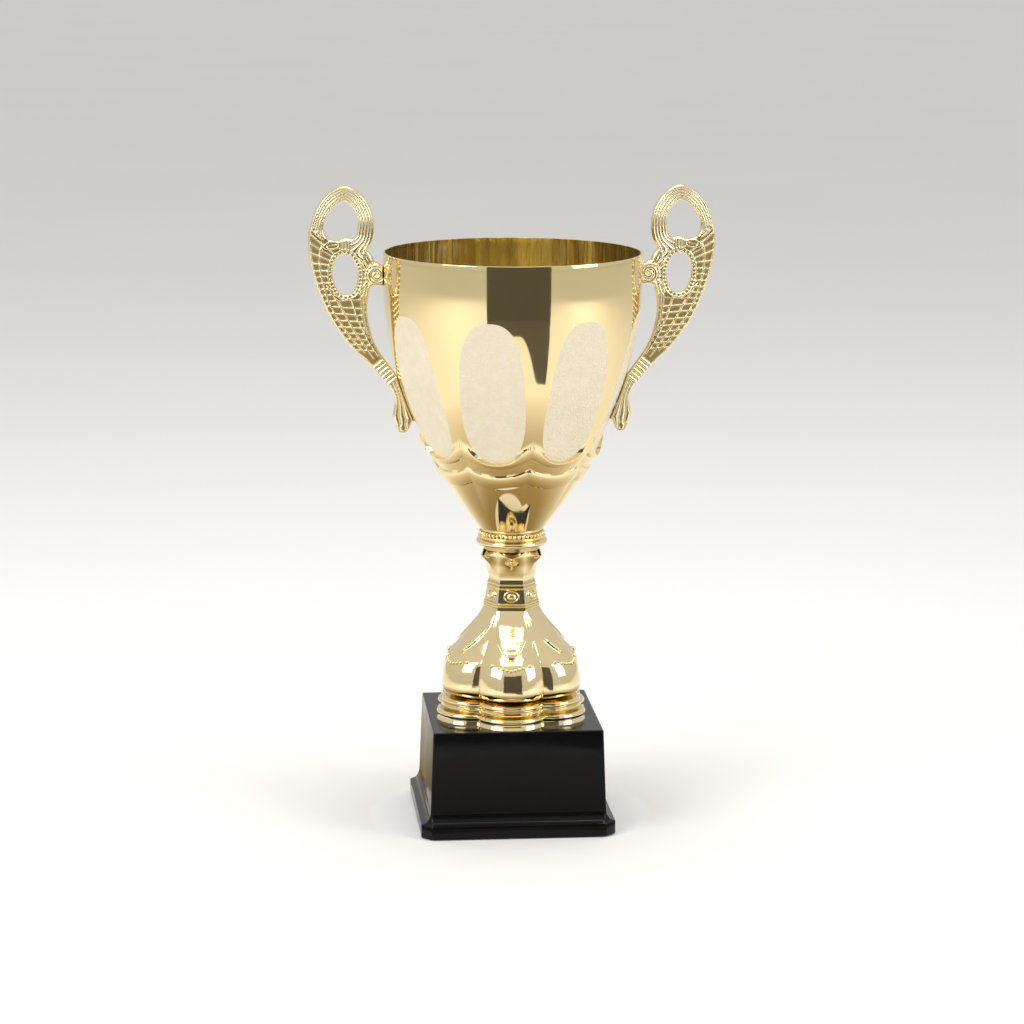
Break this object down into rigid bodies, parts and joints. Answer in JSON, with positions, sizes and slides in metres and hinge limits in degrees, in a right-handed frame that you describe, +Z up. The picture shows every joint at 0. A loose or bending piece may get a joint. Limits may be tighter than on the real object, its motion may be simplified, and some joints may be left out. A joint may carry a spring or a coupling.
{
  "type": "cup trophy",
  "caption": "Two-handled cup trophy: open metal bowl with oval panels, pierced cast handles, six-lobed stem clamped by a threaded rod to a square hollow plinth.",
  "frame": {"origin": "middle of the felt underside, on the surface the trophy stands on", "axes": "+Z up along the bowl and the tie rod, +X through the right-hand handle, -Y out of the front face of the plinth"},
  "size_m": [0.2512, 0.16, 0.3987],
  "materials": {
    "gold_mirror": "spun sheet, polished and pale gold plated",
    "gold_cast": "cast, polished and pale gold plated",
    "zinc_steel": "bright zinc plated",
    "plinth_black": "high gloss black",
    "ballast": "raw",
    "gasket": "plain",
    "board": "hardboard",
    "felt": "felt"
  },
  "bodies": {
    "root": {"bowl": "gold_mirror", "handle_left": "gold_cast", "handle_right": "gold_cast", "handle_screws": "zinc_steel", "handle_washers": "zinc_steel", "bowl_gasket": "gasket", "bowl_washer": "gold_cast", "dome_nut": "gold_cast", "collar": "gold_cast", "stem_neck": "gold_cast", "stem_bell": "gold_cast", "foot_ring": "gold_cast", "plinth_shell": "plinth_black", "ballast_plate": "ballast", "spread_washer": "zinc_steel", "lock_washer": "zinc_steel", "rod_nut": "zinc_steel", "tie_rod": "zinc_steel", "bottom_board": "board", "felt_pad": "felt"}
  },
  "joints": []
}
